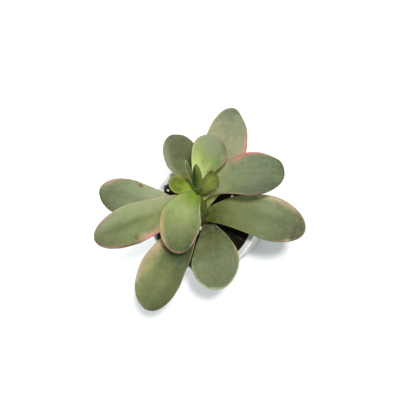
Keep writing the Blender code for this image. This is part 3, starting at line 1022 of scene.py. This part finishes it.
def bell(value, width):
    return math.exp(-(value / width) ** 2)


def make_leaf(leaf, number):
    """A thick spoon-shaped leaf with a shallow midrib groove, a blunt lip along its margin and
    slight waves in its blade. Its attributes, LEAF_PLACES, say where on the leaf a point lies."""
    deselect_all()
    bpy.ops.mesh.primitive_uv_sphere_add(
        segments=LEAF_SEGMENTS, ring_count=LEAF_RINGS, radius=1, location=(0, 0, 0))
    piece = added("fine_" + leaf.name)
    mesh = piece.data
    frames = midrib_frames(leaf)
    start = leaf_start(leaf)
    small = min(1.0, leaf.length * MM / FULL_LENGTH)
    swells = [swell for swell in SWELLS if swell.leaf == leaf.name]
    places = {name: [] for name in LEAF_PLACES}
    for vertex in mesh.vertices:
        pole = math.hypot(vertex.co.x, vertex.co.y) < AT_POLE
        along = start + (1 - start) * (1 - vertex.co.z) / 2
        angle = math.atan2(vertex.co.y, vertex.co.x)
        side = 0.0 if pole else math.cos(angle)
        upper = 0.0 if pole else math.sin(angle)
        position = min(along * MIDRIB_STEPS, MIDRIB_STEPS - 1e-6)
        index = int(position)
        part = position - index
        (point, across, up), (next_point, next_across, next_up) = frames[index:index + 2]
        point = point.lerp(next_point, part)
        across = across.lerp(next_across, part)
        up = up.lerp(next_up, part)
        half = leaf.width / 2 * MM * blade_share(leaf, along)
        ripple = noise.noise(Vector((along * 4.0, 7.3 * number, 5.0 if side > 0 else 0.0)))
        ripple += 0.6 * noise.noise(Vector((along * 11.0, 3.7 * number, 9.0 if side > 0 else 2.0)))
        wide = half * (1 + RIPPLE * small * ripple * abs(side))
        for swell in swells:
            reach = bell(along - swell.along, swell.reach) * max(0.0, side * swell.margin)
            wide += swell.out * MM * reach
        trough = DISH + leaf.fold + CHANNEL * max(0.0, 1 - along / CHANNEL_END)
        lift = trough * half * (abs(side) ** (2 - CREASE * leaf.fold) - MIDRIB_SINK)
        thick = blade_half_thickness(leaf, along) * upper
        to_tip = (1 - along) * leaf.length * MM / TIP_ROUND
        if to_tip < 1:
            thick *= math.sqrt(1 - (1 - to_tip) ** 2)
        wave = noise.noise(Vector((along * 3.2, side * 1.4, 3.1 * number)))
        lift += WAVE_HEIGHT * small * wave * min(1.0, 3 * along)
        groove = bell(side, GROOVE_WIDTH) * min(1.0, 4 * along) * max(0.0, 1 - along / GROOVE_END)
        if upper > 0:
            lift -= GROOVE_DEPTH * small * groove
        else:
            lift -= KEEL_DEPTH * small * bell(side, KEEL_WIDTH) * max(0.0, 1 - along / KEEL_END)
        rim = min((1 - abs(side)) * half, (1 - along) * leaf.length * MM)
        lip = bell(rim, LIP_REACH) * (1 - bell(upper, LIP_EDGE))
        thick += LIP_HEIGHT * small * lip * (1 if upper > 0 else -1)
        vertex.co = point + across * wide * side + up * (thick + lift)
        for name, value in zip(LEAF_PLACES, (along, side, upper, rim / MM)):
            places[name].append(value)
    for name, values in places.items():
        mesh.attributes.new(name, "FLOAT", "POINT").data.foreach_set("value", values)
    face_outwards()
    slot = "grown_leaf" if leaf.name.startswith("leaf") else "young_leaf"
    place_piece(piece, leaf_skin(leaf, LOOKS[leaf.name]), slot, leaf.name)


def make_stem():
    """A round stem drawn along its leaning line, faintly ribbed, with a thin scar below each older
    pair of leaves."""
    deselect_all()
    bpy.ops.mesh.primitive_uv_sphere_add(
        segments=STEM_SIDES, ring_count=STEM_RINGS, radius=1, location=(0, 0, 0))
    piece = added("fine_stem")
    scars = sorted({leaf.height for leaf in LEAVES if leaf.height < SCARRED_BELOW})
    for vertex in piece.data.vertices:
        height = STEM_FOOT + (STEM_TIP - STEM_FOOT) * (1 + vertex.co.z) / 2
        angle = math.atan2(vertex.co.y, vertex.co.x)
        away = math.hypot(vertex.co.x, vertex.co.y)
        centre = stem_centre(height)
        radius = stem_radius(height) if away > AT_POLE else 0.0
        for scar in scars:
            radius += SCAR_DEPTH * bell(height - scar * MM + SCAR_DROP, SCAR_WIDTH)
        side = Vector((math.cos(angle), math.sin(angle), 0))
        bark = noise.noise(Vector((side.x * 3, side.y * 3, height / (9 * MM))))
        bark += 0.5 * noise.noise(Vector((side.x * 9, side.y * 9, height / (3 * MM))))
        vertex.co = centre + side * radius * (1 + BARK_RELIEF * bark)
    face_outwards()
    place_piece(piece, stem_bark(), "stem_skin", "stem")


def pot_profile():
    """Closed profile of the pot: from the floor's centre inside, up, over the lip and down."""
    ridges = [(RIM_RADIUS - BEAD_WIDTH, POT_HEIGHT)]
    for step in range(RIDGES):
        radius = RIM_RADIUS - BEAD_WIDTH - RIDGE_SLOPE - step * RIDGE_WIDTH
        height = POT_HEIGHT - (step + 1) * RIDGE_STEP
        ridges.append((radius, height))
        ridges.append((radius - RIDGE_WIDTH + RIDGE_SLOPE, height))
    inner_top = (ridges[-1][0] - RIDGE_SLOPE, ridges[-1][1] - RIDGE_STEP)
    inside = [
        (0, POT_FLOOR),
        (BASE_RADIUS - POT_WALL - FOOT_ROUND, POT_FLOOR),
        (BASE_RADIUS - POT_WALL, POT_FLOOR + FOOT_ROUND),
        inner_top,
    ]
    outside = [
        (RIM_RADIUS, POT_HEIGHT),
        (RIM_RADIUS, POT_HEIGHT - LIP_DROP),
        (RIM_RADIUS - LIP_LEDGE, POT_HEIGHT - LIP_DROP),
        (BASE_RADIUS, FOOT_ROUND),
        (BASE_RADIUS - 0.3 * FOOT_ROUND, 0.3 * FOOT_ROUND),
        (BASE_RADIUS - FOOT_ROUND, 0),
        (0, 0),
    ]
    return inside + ridges[::-1] + outside


def inner_radius(height):
    """Radius of the pot's inside at a height, between the floor and the ridges."""
    (low_radius, low), (high_radius, high) = pot_profile()[2:4]
    return low_radius + (high_radius - low_radius) * (height - low) / (high - low)


def make_pot():
    """The turned pot, its edges rounded, with four drain holes cut through its floor."""
    piece = turned("fine_pot", pot_profile(), POT_STEPS)
    bevel = piece.modifiers.new("rounded edges", "BEVEL")
    bevel.width = POT_BEVEL
    bevel.segments = POT_BEVEL_STEPS
    bevel.limit_method = "ANGLE"
    bevel.angle_limit = math.radians(POT_BEVEL_ANGLE)
    bpy.ops.object.modifier_apply(modifier=bevel.name)
    for index in range(DRAIN_COUNT):
        turn = math.tau * (index + 0.5) / DRAIN_COUNT
        place = (DRAIN_CIRCLE * math.cos(turn), DRAIN_CIRCLE * math.sin(turn), 0)
        deselect_all()
        bpy.ops.mesh.primitive_cylinder_add(
            vertices=DRAIN_SIDES, radius=DRAIN_RADIUS, depth=4 * POT_FLOOR, location=place)
        drill = bpy.context.object
        bpy.context.view_layer.objects.active = piece
        cut = piece.modifiers.new("drain hole", "BOOLEAN")
        cut.object = drill
        bpy.ops.object.modifier_apply(modifier=cut.name)
        bpy.data.objects.remove(drill)
    deselect_all()
    piece.select_set(True)
    bpy.context.view_layer.objects.active = piece
    bpy.ops.object.shade_smooth_by_angle(angle=math.radians(POT_SMOOTH_ANGLE))
    place_piece(piece, white_plastic(), "white_plastic", "pot")


def soil_height(x, y):
    """Height of the lumpy soil surface, level where it meets the pot."""
    away = math.hypot(x, y) / inner_radius(SOIL_LEVEL)
    lumps = noise.noise(Vector((x, y, 0)) / LUMP_SIZE)
    crumbs = noise.noise(Vector((x, y, LUMP_SIZE)) / CRUMB_SIZE)
    flatten = max(0.0, 1 - away ** LEVEL_POWER)
    return SOIL_LEVEL + SOIL_RELIEF * (lumps + CRUMB_SHARE * crumbs) * flatten


def crumbly(x, y):
    """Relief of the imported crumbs, above or below the soil's own height."""
    clod = noise.voronoi(Vector((x, y, 0)) / CLOD_SIZE)[0][0]
    pellet = noise.voronoi(Vector((x, y, 0.05)) / PELLET_SIZE)[0][0]
    grit = noise.noise(Vector((x, y, 0)) / GRIT_SIZE)
    relief = CLOD_RELIEF * (0.42 - clod) + PELLET_RELIEF * (0.4 - pellet) + GRIT_RELIEF * grit
    return MM * relief


def make_soil_bed():
    """The soil that fills the pot, with packed crumbs on its top."""
    edge = inner_radius(SOIL_LEVEL) - GAP
    low = POT_FLOOR + GAP
    shoulder = low + SOIL_SHOULDER
    profile = [(edge * ring / SOIL_RINGS, SOIL_LEVEL) for ring in range(SOIL_RINGS + 1)]
    for height in (SOIL_LEVEL - SOIL_EDGE, shoulder):
        profile.append((inner_radius(height) - GAP, height))
    profile.append((inner_radius(shoulder) - GAP - SOIL_SHOULDER, low))
    profile.append((0, low))
    piece = turned("soil_bed", profile, SOIL_STEPS)
    for vertex in piece.data.vertices:
        x, y, z = vertex.co
        if z > SOIL_LEVEL - GAP:
            vertex.co.z = soil_height(x, y) + crumbly(x, y)
    bpy.ops.object.shade_smooth()
    place_piece(piece, dark_soil("soil_bed"), "dark_soil", "soil")


def crumb_model(seed):
    """A unit lump with uneven faces."""
    deselect_all()
    bpy.ops.mesh.primitive_ico_sphere_add(subdivisions=2, radius=1, location=(0, 0, 0))
    piece = added(f"crumb_{seed}")
    for vertex in piece.data.vertices:
        place = vertex.co * 1.3 + Vector((seed, 2.3 * seed, 0))
        rough = noise.noise(place) + 0.4 * noise.noise(place * 2.7)
        vertex.co *= 1 + CRUMB_BUMP * rough
    return piece


def sliver_model(seed):
    """A bent sliver with narrow ends, 2 long, wide and high."""
    deselect_all()
    bpy.ops.mesh.primitive_cube_add(size=2, location=(0, 0, 0))
    piece = added(f"sliver_{seed}")
    bpy.ops.object.mode_set(mode="EDIT")
    bpy.ops.mesh.select_all(action="SELECT")
    bpy.ops.mesh.subdivide(number_cuts=3)
    bpy.ops.object.mode_set(mode="OBJECT")
    for vertex in piece.data.vertices:
        x, y, z = vertex.co
        taper = 1 - 0.55 * abs(x) ** 3
        bend = 0.5 * noise.noise(Vector((x * 0.8, seed * 3.7, 0)))
        rough = 0.25 * noise.noise(Vector((x * 2, y * 2, z * 2 + seed)))
        vertex.co = (x, y * taper + bend * 2, z * taper + rough)
    return piece


def scatter(name, models, places):
    """One piece of soil from copies of the models, each turned, scaled and laid at its place."""
    heap = bmesh.new()
    for index, (place, turn, size) in enumerate(places):
        copy = models[index % len(models)].data.copy()
        copy.transform(Matrix.LocRotScale(place, turn, size))
        heap.from_mesh(copy)
        bpy.data.meshes.remove(copy)
    mesh = bpy.data.meshes.new(name)
    heap.to_mesh(mesh)
    heap.free()
    for model in models:
        bpy.data.objects.remove(model)
    piece = bpy.data.objects.new(name, mesh)
    bpy.context.scene.collection.objects.link(piece)
    place_piece(piece, dark_soil(name), "dark_soil")


def open_soil(rng, margin):
    """A random place on the soil, clear of the stem by the margin and of the grains by most of it."""
    while True:
        away = (inner_radius(SOIL_LEVEL) - margin) * math.sqrt(rng.random())
        turn = rng.uniform(0, math.tau)
        x, y = away * math.cos(turn), away * math.sin(turn)
        foot = stem_centre(SOIL_LEVEL)
        clear = math.hypot(x - foot.x, y - foot.y) > STEM_RADIUS + margin
        for grain in GRAINS:
            reach = grain.length / 2 * MM + 0.8 * margin
            clear = clear and math.hypot(x - grain.x * MM, y - grain.y * MM) > reach
        if clear:
            return x, y


def make_crumbs():
    """Loose crumbs, a few of them big, half sunk in the soil."""
    rng = random.Random(SEED)
    models = [crumb_model(seed) for seed in range(1, CRUMB_MODELS + 1)]
    places = []
    for _ in range(CRUMB_COUNT):
        size = MM * rng.uniform(*CRUMB_RADIUS) * (BIG_CRUMB_GAIN if rng.random() < BIG_CRUMBS else 1)
        x, y = open_soil(rng, size + CRUMB_MARGIN)
        high = soil_height(x, y) + 0.5 * crumbly(x, y) + CRUMB_LIFT * size
        turn = Euler([rng.uniform(0, math.tau) for _ in range(3)])
        stretch = Vector([rng.uniform(*limits) for limits in CRUMB_STRETCH])
        places.append((Vector((x, y, high)), turn, stretch * size))
    scatter("soil_crumbs", models, places)


def make_bark():
    """Slivers of bark and root fibre that lie flat on the soil."""
    rng = random.Random(SEED + 1)
    models = [sliver_model(seed) for seed in range(BARK_MODELS)]
    places = []
    for _ in range(BARK_COUNT):
        long = MM * rng.uniform(*BARK_HALF_LENGTH)
        wide = MM * rng.uniform(*BARK_HALF_WIDTH)
        x, y = open_soil(rng, long + BARK_MARGIN)
        turn = Euler([rng.uniform(*limits) for limits in BARK_TURN])
        high = soil_height(x, y) + BARK_LIFT
        places.append((Vector((x, y, high)), turn, Vector((long, wide, 0.6 * wide))))
    scatter("soil_bark", models, places)


def make_grain(grain, finish, number):
    """A rough cream grain, sunk a little into the soil."""
    deselect_all()
    bpy.ops.mesh.primitive_ico_sphere_add(subdivisions=5, radius=1, location=(0, 0, 0))
    piece = added("fine_" + grain.name)
    turn = math.radians(grain.heading)
    lift = grain.width / 2 * MM * (1 - 2 * GRAIN_SINK)
    level = soil_height(grain.x * MM, grain.y * MM) + lift
    for vertex in piece.data.vertices:
        bump = 1 + GRAIN_BUMP * noise.noise(vertex.co + Vector((grain.x, grain.y, 0)))
        bump += GRAIN_GRIT * noise.noise(vertex.co * 3.1 + Vector((number, 0, 0)))
        bump -= PIT_DEPTH * max(0.0, PIT_REACH - noise.voronoi(vertex.co * 2.2)[0][0])
        length = grain.length / 2 * MM * bump
        width = grain.width / 2 * MM * bump
        x, y, z = vertex.co
        vertex.co = (
            grain.x * MM + length * x * math.cos(turn) - width * y * math.sin(turn),
            grain.y * MM + length * x * math.sin(turn) + width * y * math.cos(turn),
            level + width * z,
        )
    bpy.ops.object.shade_smooth()
    place_piece(piece, finish, "cream_grain", grain.name)


# Setting


def aim(holder, target, upwards):
    """Turns a camera or lamp towards a target, with the given direction upwards in its view."""
    ahead = (target - holder.location).normalized()
    right = ahead.cross(upwards).normalized()
    turn = Matrix((right, right.cross(ahead), -ahead)).transposed()
    holder.rotation_euler = turn.to_euler()


def make_camera():
    bpy.ops.object.camera_add(location=Vector(EYE) * MM)
    camera = bpy.context.object
    camera.data.lens = FOCAL_LENGTH
    camera.data.sensor_width = SENSOR
    camera.data.clip_start = CAMERA_CLIP
    aim(camera, Vector(AIM) * MM, Vector((0, 1, 0)))
    bpy.context.scene.camera = camera


def make_lamp(shape, width, height, power, place, target, spread=180):
    bpy.ops.object.light_add(type="AREA", location=Vector(place) * MM)
    lamp = bpy.context.object
    lamp.data.shape = shape
    lamp.data.size = width * MM
    lamp.data.size_y = height * MM
    lamp.data.energy = power
    lamp.data.spread = math.radians(spread)
    lamp.visible_camera = False
    aim(lamp, Vector(target) * MM, Vector((0, 0, 1)))


def make_light():
    """A small key, a soft window to the upper left, a low light along the floor, and a pale sky."""
    make_lamp("DISK", KEY_WIDTH, KEY_WIDTH, KEY_POWER, KEY_PLACE, LIGHT_AIM)
    make_lamp("RECTANGLE", WINDOW_WIDTH, WINDOW_WIDTH, WINDOW_POWER, WINDOW_PLACE, LIGHT_AIM)
    make_lamp("RECTANGLE", LOW_WIDTH, LOW_HEIGHT, LOW_POWER, LOW_PLACE, LOW_AIM, LOW_SPREAD)
    world = bpy.data.worlds.new("pale sky")
    world.use_nodes = True
    sky = world.node_tree.nodes["Background"]
    sky.inputs["Color"].default_value = (*SKY_COLOUR, 1)
    sky.inputs["Strength"].default_value = SKY_STRENGTH
    bpy.context.scene.world = world


def make_floor():
    deselect_all()
    bpy.ops.mesh.primitive_plane_add(size=FLOOR_SIZE, location=(0, 0, 0))
    floor = added("floor")
    floor.data.materials.append(pale_floor())


for thing in list(bpy.data.objects):
    if thing.type in ("LIGHT", "CAMERA"):
        bpy.data.objects.remove(thing)
make_camera()
make_light()
make_floor()
make_pot()
make_soil_bed()
make_crumbs()
make_bark()
make_stem()
for number, leaf in enumerate(LEAVES):
    make_leaf(leaf, number)
grain_finish = cream_grain()
for number, grain in enumerate(GRAINS):
    make_grain(grain, grain_finish, number)

bpy.context.scene.view_settings.view_transform = "Standard"
